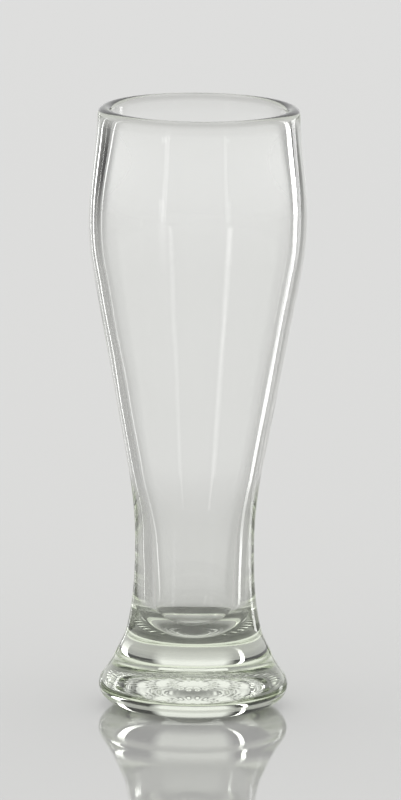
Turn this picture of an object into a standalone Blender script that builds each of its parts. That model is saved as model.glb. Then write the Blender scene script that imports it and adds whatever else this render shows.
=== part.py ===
"""Half-litre pilsner glass: a thick-walled bowl fused onto a heavy, flared foot.

Metres, +Z up. The origin is on the table at the centre of the foot, and Z is the axis of the glass.
Both pieces are turned about that axis, so an outline here is a list of (radius, height) points.
"""
import math

import bpy

# Heights, one above the other from the table to the top of the rim
FOOT_HEIGHT = 0.0292
STEM_RISE = 0.0333
FLARE_RISE = 0.0288
TAPER_RISE = 0.0815
SHOULDER_RISE = 0.0177
MOUTH_RISE = 0.0429

# Outer radii of the bowl, from the crease above the foot to the rim
CREASE_RADIUS = 0.0262
WAIST_RADIUS = 0.0230
TAPER_START_RADIUS = 0.0256
TAPER_END_RADIUS = 0.0406
BULGE_RADIUS = 0.0420
RIM_RADIUS = 0.0389
STEM_FLARE_DEGREES = 14.0
RIM_LEAN_DEGREES = 3.0

# Thickness of the glass, and the rounded well at the bottom of the bowl
RIM_WALL = 0.0056
BULGE_WALL = 0.0044
TAPER_WALL = 0.0044
WAIST_WALL = 0.0065
WELL_WALL = 0.0106
WELL_ROUND = 0.0150
FLOOR_THICKNESS = 0.0032

# The foot: its rounded edge, the lean of its flank, the ring it stands on and the hollow in that ring
FOOT_RADIUS = 0.0365
FOOT_EDGE_WIDTH = 0.0120
FOOT_EDGE_RISE = 0.0085
FLANK_TOP_DEGREES = 26.0
FLANK_EDGE_DEGREES = 36.0
BEARING_WIDTH = 0.0040
PUSH_UP = 0.0035

# The fused joint: a shallow dish in the foot that the bowl's round bottom sits in
SEAM_DISH = 0.0065
SEAM_GAP = 0.0003

# Facets: sides round the axis, and points along each curve of an outline
SIDES = 64
CURVE_POINTS = 6
LIP_POINTS = 8
EDGE_POINTS = 12

GLASS_COLOUR = (0.93, 0.96, 0.92, 1.0)
GLASS_ROUGHNESS = 0.02
GLASS_INDEX = 1.52
MERGE_DISTANCE = 0.00001


def blend(start, end, start_slope, end_slope, points):
    """Cubic curve in height from start to end, leaving and arriving at the slopes dr/dz; start is left out."""
    start_radius, start_height = start
    end_radius, end_height = end
    rise = end_height - start_height
    curve = []
    for index in range(1, points + 1):
        t = index / points
        near = 2 * t**3 - 3 * t**2 + 1
        leave = (t**3 - 2 * t**2 + t) * rise * start_slope
        arrive = (t**3 - t**2) * rise * end_slope
        radius = near * start_radius + leave + (1 - near) * end_radius + arrive
        curve.append((radius, start_height + t * rise))
    return curve


def arc(centre, radii, start_angle, end_angle, points):
    """Stretch of an ellipse about centre, with radii across and up; both ends are kept."""
    curve = []
    for index in range(points + 1):
        angle = start_angle + (end_angle - start_angle) * index / points
        curve.append((centre[0] + radii[0] * math.cos(angle), centre[1] + radii[1] * math.sin(angle)))
    return curve


def cap(edge_radius, edge_height, rise, points):
    """Spherical cap from its centre, rise above the edge, out to the edge."""
    sphere = (edge_radius**2 + rise**2) / (2 * rise)
    half_angle = math.asin(edge_radius / abs(sphere))
    curve = []
    for index in range(points + 1):
        angle = half_angle * index / points
        curve.append((abs(sphere) * math.sin(angle), edge_height + rise - sphere * (1 - math.cos(angle))))
    return curve


def mean_slope(first, middle, last):
    """Slope at the middle point that keeps the curve through three points free of bumps."""
    below = (middle[0] - first[0]) / (middle[1] - first[1])
    above = (last[0] - middle[0]) / (last[1] - middle[1])
    if below * above <= 0:
        return 0.0
    return 2 * below * above / (below + above)


def straight_slope(start, end):
    return (end[0] - start[0]) / (end[1] - start[1])


def bowl_outline():
    """Up the inside from the middle of the well, over the lip, down the outside, in along the seam.

    Heights are from the crease, which is the lowest part of the bowl's outer side.
    """
    waist_height = STEM_RISE
    taper_start_height = waist_height + FLARE_RISE
    taper_end_height = taper_start_height + TAPER_RISE
    bulge_height = taper_end_height + SHOULDER_RISE
    lip_radius = RIM_WALL / 2
    lip_height = bulge_height + MOUTH_RISE - lip_radius
    lean = -math.tan(math.radians(RIM_LEAN_DEGREES))

    floor_height = FLOOR_THICKNESS - SEAM_DISH
    well_top = (CREASE_RADIUS - WELL_WALL, floor_height + WELL_ROUND)
    inner_waist = (WAIST_RADIUS - WAIST_WALL, waist_height)
    inner_start = (TAPER_START_RADIUS - TAPER_WALL, taper_start_height)
    inner_end = (TAPER_END_RADIUS - BULGE_WALL, taper_end_height)
    inner_bulge = (BULGE_RADIUS - BULGE_WALL, bulge_height)
    inner_rim = (RIM_RADIUS - RIM_WALL, lip_height)
    inner_waist_slope = mean_slope(well_top, inner_waist, inner_start)
    inner_taper_slope = straight_slope(inner_start, inner_end)

    well_centre = (0.0, well_top[1])
    outline = arc(well_centre, (well_top[0], WELL_ROUND), -math.pi / 2, 0.0, EDGE_POINTS)
    outline[0] = (0.0, floor_height)
    outline += blend(well_top, inner_waist, 0.0, inner_waist_slope, CURVE_POINTS)
    outline += blend(inner_waist, inner_start, inner_waist_slope, inner_taper_slope, CURVE_POINTS)
    outline += blend(inner_start, inner_end, inner_taper_slope, inner_taper_slope, 1)
    outline += blend(inner_end, inner_bulge, inner_taper_slope, 0.0, CURVE_POINTS)
    outline += blend(inner_bulge, inner_rim, 0.0, lean, CURVE_POINTS)

    lip_centre = (RIM_RADIUS - lip_radius, lip_height)
    outline += arc(lip_centre, (lip_radius, lip_radius), math.pi, 0.0, LIP_POINTS)[1:]

    rim = (RIM_RADIUS, lip_height)
    bulge = (BULGE_RADIUS, bulge_height)
    taper_end = (TAPER_END_RADIUS, taper_end_height)
    taper_start = (TAPER_START_RADIUS, taper_start_height)
    waist = (WAIST_RADIUS, waist_height)
    crease = (CREASE_RADIUS, 0.0)
    taper_slope = straight_slope(taper_start, taper_end)
    crease_slope = -math.tan(math.radians(STEM_FLARE_DEGREES))
    outline += blend(rim, bulge, lean, 0.0, CURVE_POINTS)
    outline += blend(bulge, taper_end, 0.0, taper_slope, CURVE_POINTS)
    outline += blend(taper_end, taper_start, taper_slope, taper_slope, 1)
    outline += blend(taper_start, waist, taper_slope, 0.0, CURVE_POINTS)
    outline += blend(waist, crease, 0.0, crease_slope, CURVE_POINTS)

    seam = cap(CREASE_RADIUS, 0.0, -SEAM_DISH, CURVE_POINTS)
    outline += seam[-2::-1]
    return outline


def foot_outline():
    """Out over the dished top, down the flank, round the edge, in over the bearing ring and the push-up."""
    outline = cap(CREASE_RADIUS, FOOT_HEIGHT, -SEAM_DISH, CURVE_POINTS)

    edge_centre = (FOOT_RADIUS - FOOT_EDGE_WIDTH, FOOT_EDGE_RISE)
    top_slope = -math.tan(math.radians(FLANK_TOP_DEGREES))
    edge_slope = -math.tan(math.radians(FLANK_EDGE_DEGREES))
    edge_start = math.atan(-edge_slope * FOOT_EDGE_RISE / FOOT_EDGE_WIDTH)
    edge = arc(edge_centre, (FOOT_EDGE_WIDTH, FOOT_EDGE_RISE), edge_start, -math.pi / 2, EDGE_POINTS)
    outline += blend(outline[-1], edge[0], top_slope, edge_slope, CURVE_POINTS)
    outline += edge[1:]

    push_up = cap(edge_centre[0] - BEARING_WIDTH, 0.0, PUSH_UP, CURVE_POINTS)
    outline += push_up[::-1]
    return outline


def clear_glass():
    """Clear soda-lime glass with the faint green of its thick parts."""
    material = bpy.data.materials.new("clear_glass")
    material.use_nodes = True
    shader = material.node_tree.nodes["Principled BSDF"]
    shader.inputs["Base Color"].default_value = GLASS_COLOUR
    shader.inputs["Roughness"].default_value = GLASS_ROUGHNESS
    shader.inputs["Metallic"].default_value = 0.0
    shader.inputs["IOR"].default_value = GLASS_INDEX
    shader.inputs["Transmission Weight"].default_value = 1.0
    return material


def turned_piece(name, outline, height, material, parent):
    """Object turned about Z from an outline, standing at height on the axis."""
    mesh = bpy.data.meshes.new(name)
    points = [(radius, 0.0, z) for radius, z in outline]
    edges = [(index, index + 1) for index in range(len(points) - 1)]
    mesh.from_pydata(points, edges, [])
    mesh.materials.append(material)
    piece = bpy.data.objects.new(name, mesh)
    piece.location = (0.0, 0.0, height)
    piece.parent = parent
    bpy.context.collection.objects.link(piece)
    screw = piece.modifiers.new("turned", "SCREW")
    screw.axis = "Z"
    screw.steps = SIDES
    screw.render_steps = SIDES
    screw.use_merge_vertices = True
    screw.merge_threshold = MERGE_DISTANCE
    screw.use_smooth_shade = True
    return piece


for leftover in list(bpy.data.objects):
    bpy.data.objects.remove(leftover, do_unlink=True)

glass = bpy.data.objects.new("pilsner_glass", None)
bpy.context.collection.objects.link(glass)
turned_piece("foot", foot_outline(), 0.0, clear_glass(), glass)
turned_piece("bowl", bowl_outline(), FOOT_HEIGHT + SEAM_GAP, clear_glass(), glass)
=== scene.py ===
"""Half-litre pilsner glass of thick clear glass, standing empty on a pale studio floor."""
import math

import bpy
import numpy as np
from mathutils import Matrix, Vector


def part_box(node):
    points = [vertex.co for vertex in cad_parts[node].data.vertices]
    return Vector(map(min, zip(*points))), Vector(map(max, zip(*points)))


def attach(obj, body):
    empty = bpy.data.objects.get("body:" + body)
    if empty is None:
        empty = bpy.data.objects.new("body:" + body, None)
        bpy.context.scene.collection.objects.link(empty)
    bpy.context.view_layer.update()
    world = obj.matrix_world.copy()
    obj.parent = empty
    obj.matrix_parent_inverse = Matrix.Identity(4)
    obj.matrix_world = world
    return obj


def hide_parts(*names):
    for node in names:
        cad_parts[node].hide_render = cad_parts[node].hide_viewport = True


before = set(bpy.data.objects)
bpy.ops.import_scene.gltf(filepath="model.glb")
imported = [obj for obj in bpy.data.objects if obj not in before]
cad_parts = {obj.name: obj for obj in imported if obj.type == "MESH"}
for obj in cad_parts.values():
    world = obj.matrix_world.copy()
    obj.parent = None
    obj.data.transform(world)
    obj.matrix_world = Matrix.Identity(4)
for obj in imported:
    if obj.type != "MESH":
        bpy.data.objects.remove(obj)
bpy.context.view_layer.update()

# The foot: a heavy disc of glass, pressed while it was hot. Its flank spreads to a rounded edge, which turns
# under to the ring it stands on. The middle of the underside is pushed up, so the glass can't rock.
# Outlines are (radius, height) points in metres, and the whole glass is turned about Z from them.
foot_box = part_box("foot")
crease_height = foot_box[1].z
foot_radius = foot_box[1].x
edge_width = 0.0120
edge_rise = 0.0085
edge_slope = -math.tan(math.radians(36))
flank_top_slope = -math.tan(math.radians(26))
ring_width = 0.0040
push_up = 0.0035
edge_points = 18
underside_points = 49


def arc(centre, across, up, start, end, points):
    """Points on an ellipse at even angles: centre, plus across times the cosine and up times the sine."""
    angle = np.linspace(start, end, points)
    return np.column_stack([centre[0] + across * np.cos(angle), centre[1] + up * np.sin(angle)])


ring_outer = foot_radius - edge_width
ring_inner = ring_outer - ring_width
edge_start = math.atan(-edge_slope * edge_rise / edge_width)
edge = arc((ring_outer, edge_rise), edge_width, edge_rise, edge_start, -math.pi / 2, edge_points)
underside_radii = np.linspace(ring_outer, 0, underside_points)[1:]
underside_heights = push_up * np.clip(1 - (underside_radii / ring_inner) ** 2, 0, None)
underside = np.column_stack([underside_radii, underside_heights])

# Short bars stand in rings over the underside, pressed into the hot glass by the plate under the foot. The
# glass stands on the outermost ring of them, so that it doesn't cling to a wet table.
bar_depth = 0.0003
bar_length = ring_width
ring_count = 4
ring_spacing = 0.0056
bars_added_per_ring = 16


def pressed_bars(radius, angle):
    """Height cut out between the bars: a sine round the axis, under a bell across each ring's width.

    The outermost ring is the one that the glass stands on. The others follow it inwards, ring_spacing apart,
    each with bars_added_per_ring fewer bars than the last.
    """
    outermost = ring_outer - ring_width / 2
    step = np.clip(np.round((outermost - radius) / ring_spacing), 0, ring_count - 1)
    offset = radius - (outermost - step * ring_spacing)
    bell = np.cos(np.clip(offset / bar_length, -0.5, 0.5) * math.pi) ** 2
    bars = bars_added_per_ring * (ring_count - step)
    return bar_depth * bell * (1 - np.cos(bars * angle)) / 2


# The outside of the bowl: blown thick into a mould and fire-polished, so every bend in it is soft. From the
# crease above the foot it draws in to a waist, opens in a long taper to the bulge, and closes to the rim.
bowl_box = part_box("bowl")
rim_height = bowl_box[1].z
bulge_radius = bowl_box[1].x
crease_radius = 0.0262
waist_radius, waist_height = 0.0230, 0.0628
taper_start_radius, taper_start_height = 0.0256, 0.0916
taper_end_radius, taper_end_height = 0.0406, 0.1731
bulge_height = 0.1908
rim_radius = 0.0389
rim_wall = 0.0056
stem_flare_slope = -math.tan(math.radians(14))
rim_lean_slope = -math.tan(math.radians(3))
fine_step = 0.00025
polish_reach = 10
lip_points = 14
upper_rows, lower_outer_rows = 34, 30


def eased(heights, knot_heights, knot_radii, leaving, arriving):
    """Radius at each height, on cubics from knot to knot that leave and arrive at the given slopes dr/dz."""
    knot_heights = np.array(knot_heights)
    knot_radii = np.array(knot_radii)
    knot = np.clip(np.searchsorted(knot_heights, heights, side="right") - 1, 0, len(knot_heights) - 2)
    rise = (knot_heights[1:] - knot_heights[:-1])[knot]
    t = (heights - knot_heights[knot]) / rise
    near = 2 * t**3 - 3 * t**2 + 1
    bend = (t**3 - 2 * t**2 + t) * np.array(leaving)[knot] + (t**3 - t**2) * np.array(arriving)[knot]
    return near * knot_radii[knot] + (1 - near) * knot_radii[knot + 1] + bend * rise


def polished(heights, knot_heights, *knots):
    """The eased radius, averaged over a bell-shaped stretch of height, as fire-polishing rounds each bend."""
    low, high = knot_heights[0], knot_heights[-1]
    fine = np.linspace(low, high, int((high - low) / fine_step) + 1)
    bell = np.hanning(2 * polish_reach + 3)[1:-1]
    padded = np.pad(eased(fine, knot_heights, *knots), polish_reach, mode="reflect", reflect_type="odd")
    return np.interp(heights, fine, np.convolve(padded, bell / bell.sum(), mode="valid"))


def straight_slope(radius_a, height_a, radius_b, height_b):
    return (radius_b - radius_a) / (height_b - height_a)


lip_radius = rim_wall / 2
lip_height = rim_height - lip_radius
lip = arc((rim_radius - lip_radius, lip_height), lip_radius, lip_radius, math.pi, 0.0, lip_points)
wall_heights = [waist_height, taper_start_height, taper_end_height, bulge_height, lip_height]
outer_heights = [edge[0][1], crease_height] + wall_heights
outer_radii = [
    edge[0][0],
    crease_radius,
    waist_radius,
    taper_start_radius,
    taper_end_radius,
    bulge_radius,
    rim_radius,
]
outer_taper = straight_slope(taper_start_radius, taper_start_height, taper_end_radius, taper_end_height)
upward_slopes = [0.0, outer_taper, outer_taper, 0.0, rim_lean_slope]
outer_leaving = [edge_slope, stem_flare_slope] + upward_slopes[:-1]
outer_arriving = [flank_top_slope] + upward_slopes
outer_rows = np.concatenate([
    np.linspace(lip_height, taper_start_height, upper_rows)[1:],
    np.linspace(taper_start_height, edge[0][1], lower_outer_rows)[1:-1],
])
outer_wall = polished(outer_rows, outer_heights, outer_radii, outer_leaving, outer_arriving)

# The inside of the bowl: no mould touched it, so it follows the outside only roughly and wanders a little.
# The wall thickens from the taper to the waist, and ends in a deep rounded well above the foot.
# A slow wave is its count round the axis, its turn with height and its share; a cord is count and turn.
bulge_wall = 0.0044
taper_wall = 0.0044
waist_wall = 0.0065
well_wall = 0.0106
well_round = 0.0150
floor_thickness = 0.0032
well_points = 16
lower_inner_rows = 20
wave_length = 0.075
wave_depth = 0.00003
slow_waves = ((2, 1.0, 1.0), (3, -1.7, 0.6), (5, 2.3, 0.4))
cord_depth = 0.00001
fine_cord, wide_cord = (17, 0.9), (4, -0.6)


def shared_slope(below, above):
    """Slope where two stretches meet: the harmonic mean of theirs, which leaves no bump on either side."""
    return 2 * below * above / (below + above)


well_radius = crease_radius - well_wall
well_floor = bowl_box[0].z + floor_thickness
well_top = well_floor + well_round
well = arc((0.0, well_top), well_radius, well_round, -math.pi / 2, 0.0, well_points)
inner_heights = [well_top] + wall_heights
inner_radii = [
    well_radius,
    waist_radius - waist_wall,
    taper_start_radius - taper_wall,
    taper_end_radius - bulge_wall,
    bulge_radius - bulge_wall,
    rim_radius - rim_wall,
]
inner_taper = straight_slope(inner_radii[2], taper_start_height, inner_radii[3], taper_end_height)
inner_waist = shared_slope(
    straight_slope(well_radius, well_top, inner_radii[1], waist_height),
    straight_slope(inner_radii[1], waist_height, inner_radii[2], taper_start_height),
)
inner_slopes = [0.0, inner_waist, inner_taper, inner_taper, 0.0, rim_lean_slope]
inner_rows = np.concatenate([
    np.linspace(well_top, taper_start_height, lower_inner_rows)[1:],
    np.linspace(taper_start_height, lip_height, upper_rows)[1:-1],
])
inner_wall = polished(inner_rows, inner_heights, inner_radii, inner_slopes[:-1], inner_slopes[1:])


def blown_waves(height, angle):
    """Wander of the inner wall: a sum of slow sines that wind round the axis, and a product of two cords.

    Both fade out at the well and at the lip.
    """
    rise = 2 * math.pi * height / wave_length
    slow = sum(share * np.sin(count * angle + turn * rise) for count, turn, share in slow_waves)
    fine, wide = (np.sin(count * angle + turn * rise) for count, turn in (fine_cord, wide_cord))
    cords = fine * wide
    from_well = np.clip((height - well_top) / wave_length, 0, 1)
    from_lip = np.clip((lip_height - height) / wave_length, 0, 1)
    return (wave_depth * slow + cord_depth * cords) * from_well * from_lip


# Foot and bowl were fused while hot, and no surface is left inside the glass where they met. So one closed
# skin stands for both: from the middle of the well up the inside, over the lip, down to the underside.
# It is clear soda-lime glass, fire-polished: colourless in a thin wall, faintly yellow-green in the foot.
sides = 480
angle = np.linspace(0, 2 * math.pi, sides, endpoint=False)[None, :]
inside = np.concatenate([well, np.column_stack([inner_wall, inner_rows])])
outside = np.concatenate([lip, np.column_stack([outer_wall, outer_rows]), edge])
wandering_radii = inside[:, :1] + blown_waves(inside[:, 1:], angle)
barred_heights = underside[:, 1:] + pressed_bars(underside[:, :1], angle)
round_radii = np.concatenate([outside, underside])[:, :1]
level_heights = np.concatenate([inside, outside])[:, 1:]
skin_radii = np.concatenate([wandering_radii, np.repeat(round_radii, sides, axis=1)])
skin_heights = np.concatenate([np.repeat(level_heights, sides, axis=1), barred_heights])


def turned_mesh(name, radius, height, angle):
    """Closed mesh from a grid of radii and heights, rows along the outline and columns round Z.

    The first and last rows are single points on the axis. The skin faces away from the glass.
    """
    ring = np.stack([radius * np.cos(angle), radius * np.sin(angle), height], axis=-1)[1:-1]
    poles = np.array([[0.0, 0.0, height[0, 0]], [0.0, 0.0, height[-1, 0]]])
    points = np.concatenate([ring.reshape(-1, 3), poles])
    rows, columns = ring.shape[:2]
    index = np.arange(rows * columns).reshape(rows, columns)
    beside = np.roll(index, -1, axis=1)
    quads = np.stack([index[:-1], index[1:], beside[1:], beside[:-1]], axis=-1).reshape(-1, 4)
    first = np.stack([np.full(columns, rows * columns), index[0], beside[0]], axis=-1)
    last = np.stack([index[-1], np.full(columns, rows * columns + 1), beside[-1]], axis=-1)
    mesh = bpy.data.meshes.new(name)
    mesh.from_pydata(points.tolist(), [], quads.tolist() + first.tolist() + last.tolist())
    mesh.shade_smooth()
    return mesh


def linear(hex_colour):
    """Linear RGBA of an sRGB hex colour: c / 12.92 up to 0.04045, and ((c + 0.055) / 1.055) ** 2.4 above."""
    channels = np.array([int(hex_colour[i:i + 2], 16) for i in (0, 2, 4)]) / 255
    curved = np.where(channels <= 0.04045, channels / 12.92, ((channels + 0.055) / 1.055) ** 2.4)
    return (*curved.tolist(), 1.0)


def add_node(tree, kind, values=None, links=None, **settings):
    """Adds a node with its settings, its input values and its links; inputs go by name or number."""
    node = tree.nodes.new(kind)
    for name, value in settings.items():
        setattr(node, name, value)
    for name, value in (values or {}).items():
        node.inputs[name].default_value = value
    for name, output in (links or {}).items():
        tree.links.new(output, node.inputs[name])
    return node


glass = bpy.data.objects.new("pilsner_glass", turned_mesh("pilsner_glass", skin_radii, skin_heights, angle))
bpy.context.collection.objects.link(glass)

# Fire-polished soda-lime glass: no roughness at all on the polished skin, no colour in a thin wall and a
# faint yellow-green where one looks through a lot of it. Only the crowns of the bars that it stands on are
# matt, scuffed by sliding over tables.
wear_height = 0.0001
scratch_spacing = 0.0006
soda_lime = bpy.data.materials.new("fire_polished_soda_lime_glass")
soda_lime.use_nodes = True
tree = soda_lime.node_tree
tree.nodes.clear()
place = add_node(tree, "ShaderNodeTexCoord").outputs["Object"]
above_table = add_node(tree, "ShaderNodeSeparateXYZ", links={"Vector": place}).outputs["Z"]
wear = add_node(tree, "ShaderNodeMapRange", {
    "From Max": wear_height,
    "To Min": 1.0,
    "To Max": 0.0,
}, {"Value": above_table})
scratches = add_node(tree, "ShaderNodeTexNoise", {"Scale": 1 / scratch_spacing}, {"Vector": place})
scuffed = add_node(tree, "ShaderNodeMath", links={
    0: wear.outputs["Result"],
    1: scratches.outputs["Fac"],
}, operation="MULTIPLY")
surface = add_node(tree, "ShaderNodeBsdfPrincipled", {
    "Base Color": linear("ffffff"),
    "IOR": 1.52,
    "Transmission Weight": 1.0,
}, {"Roughness": scuffed.outputs["Value"]})
depth_tint = add_node(tree, "ShaderNodeVolumeAbsorption", {"Color": linear("dce6c8"), "Density": 7.0})
add_node(tree, "ShaderNodeOutputMaterial", links={
    "Surface": surface.outputs["BSDF"],
    "Volume": depth_tint.outputs["Volume"],
})
glass.data.materials.append(soda_lime)
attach(glass, "root")
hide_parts("bowl", "foot")

# The floor: one wide sheet of pale acrylic, laid flat with no seam in sight. It is polished, so it mirrors
# the foot, and it lies a hair below the glass.
floor_half_width = 20.0
floor_drop = 0.0002
floor_corners = [
    (-floor_half_width, -floor_half_width, -floor_drop),
    (floor_half_width, -floor_half_width, -floor_drop),
    (floor_half_width, floor_half_width, -floor_drop),
    (-floor_half_width, floor_half_width, -floor_drop),
]
floor_mesh = bpy.data.meshes.new("floor")
floor_mesh.from_pydata(floor_corners, [], [(0, 1, 2, 3)])
floor = bpy.data.objects.new("floor", floor_mesh)
bpy.context.collection.objects.link(floor)
pale_sheet = bpy.data.materials.new("pale_acrylic_sheet")
pale_sheet.use_nodes = True
sheet_shader = pale_sheet.node_tree.nodes["Principled BSDF"]
sheet_shader.inputs["Base Color"].default_value = linear("b9b9b7")
sheet_shader.inputs["Roughness"].default_value = 0.04
floor_mesh.materials.append(pale_sheet)

# Studio light: a plain white room with a soft box overhead. What the glass bends towards the camera is the
# same room, dressed as for a product shot: a dim ceiling, a black flag behind on each side and four upright
# strips of light. They draw the edges of the glass in dark and bright lines, and only the glass shows them.
room_strength = 1.0
backdrop_strength = 0.86
# The ceiling darkens between two sines of the angle upwards, and a flag hangs between two of that sideways
ceiling_strength = 0.3
ceiling_from, ceiling_to = 0.30, 0.65
flag_strength = 0.04
flag_from, flag_to = 0.30, 0.88
flag_fade = 0.05
flag_in_bowl = 0.5
# Each strip is its degrees from straight behind, half width in degrees, strength and share kept in the bowl
left_rear_strip = (-25.0, 1.4, 5.0, 0.5)
right_rear_strip = (45.0, 5.0, 5.0, 0.0)
left_front_strip = (-141.0, 3.0, 1.5, 0.0)
right_front_strip = (147.0, 2.0, 1.0, 0.0)
# Depth at which light counts as bent, as seen behind the mouth, and as seen through both walls of the bowl
bent_depth = 2.5
mouth_depth, depth_tolerance = 4.0, 0.5
mouth_as_bowl = 0.65
bowl_depth = 5.5
room = bpy.data.worlds.new("room")
bpy.context.scene.world = room
room.use_nodes = True
tree = room.node_tree
tree.nodes.clear()
direction = add_node(tree, "ShaderNodeTexCoord").outputs["Generated"]
upward = add_node(tree, "ShaderNodeSeparateXYZ", links={"Vector": direction}).outputs["Z"]
below_ceiling = add_node(tree, "ShaderNodeMapRange", {
    "From Min": ceiling_from,
    "From Max": ceiling_to,
    "To Min": 1.0,
    "To Max": 0.0,
}, {"Value": upward})
level = add_node(tree, "ShaderNodeVectorMath", {1: (1.0, 1.0, 0.0)}, {0: direction}, operation="MULTIPLY")
level = add_node(tree, "ShaderNodeVectorMath", links={0: level.outputs["Vector"]}, operation="NORMALIZE")
level_axes = add_node(tree, "ShaderNodeSeparateXYZ", links={"Vector": level.outputs["Vector"]})
sideways = add_node(tree, "ShaderNodeMath", links={0: level_axes.outputs["X"]}, operation="ABSOLUTE")
sideways = sideways.outputs["Value"]
flag_start = add_node(tree, "ShaderNodeMapRange", {
    "From Min": flag_from - flag_fade,
    "From Max": flag_from + flag_fade,
}, {"Value": sideways})
flag_end = add_node(tree, "ShaderNodeMapRange", {
    "From Min": flag_to - flag_fade,
    "From Max": flag_to + flag_fade,
    "To Min": 1.0,
    "To Max": 0.0,
}, {"Value": sideways})
behind = add_node(tree, "ShaderNodeMath", {1: 0.0}, {0: level_axes.outputs["Y"]}, operation="GREATER_THAN")
flag = add_node(tree, "ShaderNodeMath", links={
    0: flag_start.outputs["Result"],
    1: flag_end.outputs["Result"],
}, operation="MULTIPLY")
flag = add_node(tree, "ShaderNodeMath", links={
    0: flag.outputs["Value"],
    1: behind.outputs["Value"],
}, operation="MULTIPLY")

# The depth of a ray tells what it came through: the wall at the edge of the glass, both walls of the bowl, or
# the far wall behind the mouth, with one step more where the floor mirrored it. Seen through the bowl or the
# mouth, flags and strips are softened, because a strip right behind the glass would fill it with white.
light_path = add_node(tree, "ShaderNodeLightPath")
one_wall = add_node(tree, "ShaderNodeMath", {1: mouth_depth, 2: depth_tolerance},
                    {0: light_path.outputs["Ray Depth"]}, operation="COMPARE")
mouth_share = add_node(tree, "ShaderNodeMapRange", {"To Max": mouth_as_bowl}, {
    "Value": light_path.outputs["Is Reflection Ray"],
})
in_mouth = add_node(tree, "ShaderNodeMath", links={
    0: one_wall.outputs["Value"],
    1: mouth_share.outputs["Result"],
}, operation="MULTIPLY")
both_walls = add_node(tree, "ShaderNodeMath", {1: bowl_depth}, {0: light_path.outputs["Ray Depth"]},
                      operation="GREATER_THAN")
in_bowl = add_node(tree, "ShaderNodeMath", links={
    0: in_mouth.outputs["Value"],
    1: both_walls.outputs["Value"],
}, operation="MAXIMUM")
on_floor = add_node(tree, "ShaderNodeMath", links={
    0: in_bowl.outputs["Value"],
    1: light_path.outputs["Is Reflection Ray"],
}, operation="MULTIPLY")
glass_depth = add_node(tree, "ShaderNodeMath", links={
    0: light_path.outputs["Ray Depth"],
    1: light_path.outputs["Is Reflection Ray"],
}, operation="SUBTRACT")
four_skins = add_node(tree, "ShaderNodeMath", {1: bowl_depth - 1}, {0: glass_depth.outputs["Value"]},
                      operation="GREATER_THAN")
flag_softened = add_node(tree, "ShaderNodeMath", links={
    0: in_bowl.outputs["Value"],
    1: four_skins.outputs["Value"],
}, operation="MAXIMUM")
flag_share = add_node(tree, "ShaderNodeMapRange", {
    "To Min": 1.0,
    "To Max": flag_in_bowl,
}, {"Value": flag_softened.outputs["Value"]})
flag = add_node(tree, "ShaderNodeMath", links={
    0: flag.outputs["Value"],
    1: flag_share.outputs["Result"],
}, operation="MULTIPLY")
wall = add_node(tree, "ShaderNodeMapRange", {
    "To Min": room_strength,
    "To Max": flag_strength,
}, {"Value": flag.outputs["Value"]}).outputs["Result"]
strips = (
    (*left_rear_strip, in_bowl),
    (*right_rear_strip, in_bowl),
    (*left_front_strip, on_floor),
    (*right_front_strip, on_floor),
)
for azimuth, half_width, strength, share_in_bowl, through_bowl in strips:
    towards = (math.sin(math.radians(azimuth)), math.cos(math.radians(azimuth)), 0.0)
    facing = add_node(tree, "ShaderNodeVectorMath", {1: towards}, {0: level.outputs["Vector"]},
                      operation="DOT_PRODUCT")
    lit = add_node(tree, "ShaderNodeMath", {1: math.cos(math.radians(half_width))},
                   {0: facing.outputs["Value"]}, operation="GREATER_THAN")
    share = add_node(tree, "ShaderNodeMapRange", {
        "To Min": 1.0,
        "To Max": share_in_bowl,
    }, {"Value": through_bowl.outputs["Value"]})
    glow = add_node(tree, "ShaderNodeMath", links={
        0: lit.outputs["Value"],
        1: share.outputs["Result"],
    }, operation="MULTIPLY")
    wall = add_node(tree, "ShaderNodeMath", {1: strength}, {
        0: glow.outputs["Value"],
        2: wall,
    }, operation="MULTIPLY_ADD").outputs["Value"]
dressed = add_node(tree, "ShaderNodeMix", {2: ceiling_strength}, {
    0: below_ceiling.outputs["Result"],
    3: wall,
})
mirrored = add_node(tree, "ShaderNodeMath", links={
    0: light_path.outputs["Is Glossy Ray"],
    1: light_path.outputs["Is Transmission Ray"],
}, operation="MAXIMUM")
deep = add_node(tree, "ShaderNodeMath", {1: bent_depth}, {0: light_path.outputs["Ray Depth"]},
                operation="GREATER_THAN")
bent = add_node(tree, "ShaderNodeMath", links={
    0: mirrored.outputs["Value"],
    1: deep.outputs["Value"],
}, operation="MULTIPLY")
seen = add_node(tree, "ShaderNodeMix", {2: room_strength}, {0: bent.outputs["Value"], 3: dressed.outputs[0]})
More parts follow.
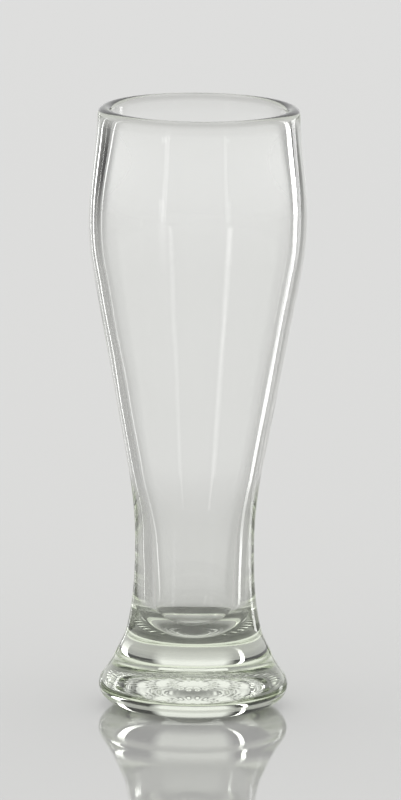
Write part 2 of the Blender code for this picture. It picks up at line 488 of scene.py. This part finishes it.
seen = add_node(tree, "ShaderNodeMix", {3: backdrop_strength}, {
    0: light_path.outputs["Is Camera Ray"],
    2: seen.outputs[0],
})
background = add_node(tree, "ShaderNodeBackground", {"Color": linear("ffffff")}, {
    "Strength": seen.outputs[0],
})
add_node(tree, "ShaderNodeOutputWorld", links={"Surface": background.outputs["Background"]})

# The soft box: a lamp behind a wide cloth, hung over the table and aimed a little behind the glass. The
# camera doesn't see it, but the glass does.
box_place = Vector((0.0, 0.5, 1.5))
box_aim = Vector((0.0, 0.4, 0.0))
box_lamp = bpy.data.lights.new("overhead_box", "AREA")
box_lamp.shape = "RECTANGLE"
box_lamp.size = 1.2
box_lamp.size_y = 1.4
box_lamp.energy = 4.0
overhead_box = bpy.data.objects.new("overhead_box", box_lamp)
overhead_box.location = box_place
overhead_box.rotation_euler = (box_aim - box_place).to_track_quat("-Z", "Y").to_euler()
overhead_box.visible_camera = False
bpy.context.collection.objects.link(overhead_box)

# The camera stands a long way off, as for a catalogue picture, so the glass hardly narrows towards its foot.
# It looks down on the rim a little, and it is level but for a slight roll.
camera_distance = 4.0
camera_elevation = math.radians(10.5)
camera_roll = math.radians(0.60)
camera_target = Vector((0.0017, 0.0, 0.1197))
frame_height = 0.3078
sensor_long_side = 36.0
lens = bpy.data.cameras.new("camera")
lens.sensor_width = sensor_long_side
lens.lens = sensor_long_side * camera_distance / frame_height
camera = bpy.data.objects.new("camera", lens)
back = Vector((0.0, -math.cos(camera_elevation), math.sin(camera_elevation)))
camera.location = camera_target + camera_distance * back
tilt = Matrix.Rotation(math.pi / 2 - camera_elevation, 3, "X") @ Matrix.Rotation(camera_roll, 3, "Z")
camera.rotation_euler = tilt.to_euler()
bpy.context.collection.objects.link(camera)

# Light is bent and mirrored many times in thick glass, so a ray may bounce often before it is given up.
scene = bpy.context.scene
scene.camera = camera
scene.view_settings.view_transform = "Standard"
scene.cycles.max_bounces = 32
scene.cycles.transmission_bounces = 32
scene.cycles.glossy_bounces = 16
